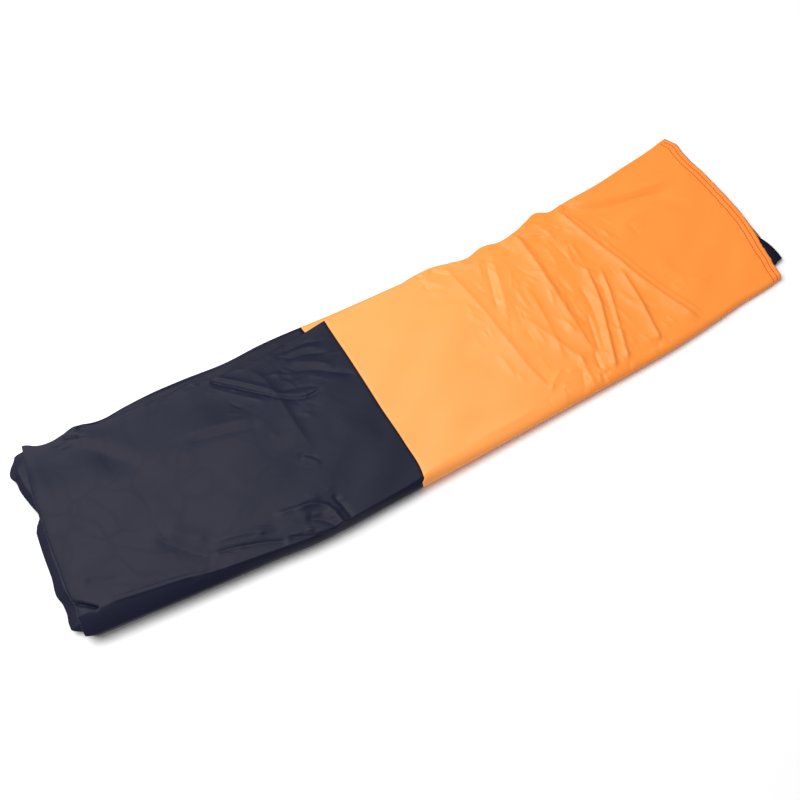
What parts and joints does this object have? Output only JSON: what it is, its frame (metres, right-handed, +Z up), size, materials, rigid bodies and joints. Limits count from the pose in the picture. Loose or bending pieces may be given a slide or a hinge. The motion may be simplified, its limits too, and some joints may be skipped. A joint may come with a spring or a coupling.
{
  "type": "folded windsock sleeve",
  "caption": "Two-colour taffeta windsock sleeve, laid flat and folded end to end and then lengthwise into a slim bundle.",
  "frame": {"origin": "bottom centre of the folded bundle, on the surface it lies on", "axes": "+X from the folded end to the mouth hem, +Y from the near fold to the side seams, +Z up"},
  "size_m": [0.7992, 0.2379, 0.0245],
  "materials": {
    "orange_taffeta": "smooth coated taffeta with a soft sheen",
    "navy_taffeta": "smooth coated taffeta with a soft sheen",
    "red_thread": "spun polyester sewing thread",
    "navy_thread": "spun polyester sewing thread"
  },
  "bodies": {
    "lower_half": {"lower_outer_mouth_band": "orange_taffeta", "lower_outer_body_panel": "navy_taffeta", "lower_outer_mouth_hem_edge_row": "red_thread", "lower_outer_mouth_hem_second_row": "red_thread", "lower_outer_band_seam_row": "red_thread", "lower_outer_tail_hem_row": "red_thread", "lower_inner_mouth_band": "orange_taffeta", "lower_inner_body_panel": "navy_taffeta", "lower_inner_mouth_hem_edge_row": "red_thread", "lower_inner_mouth_hem_second_row": "red_thread", "lower_inner_band_seam_row": "red_thread", "lower_inner_tail_hem_row": "red_thread", "lower_side_seam_row": "navy_thread"},
    "upper_half": {"upper_outer_mouth_band": "orange_taffeta", "upper_outer_body_panel": "navy_taffeta", "upper_outer_mouth_hem_edge_row": "red_thread", "upper_outer_mouth_hem_second_row": "red_thread", "upper_outer_band_seam_row": "red_thread", "upper_outer_tail_hem_row": "red_thread", "upper_inner_mouth_band": "orange_taffeta", "upper_inner_body_panel": "navy_taffeta", "upper_inner_mouth_hem_edge_row": "red_thread", "upper_inner_mouth_hem_second_row": "red_thread", "upper_inner_band_seam_row": "red_thread", "upper_inner_tail_hem_row": "red_thread", "upper_side_seam_row": "navy_thread"}
  },
  "joints": [
    {"name": "near_fold", "type": "hinge", "parent": "lower_half", "child": "upper_half", "pos_m": [0, -0.1194, 0.00762], "axis": [0.9999, 0, -0.0122], "range_deg": [0, 180]}
  ]
}
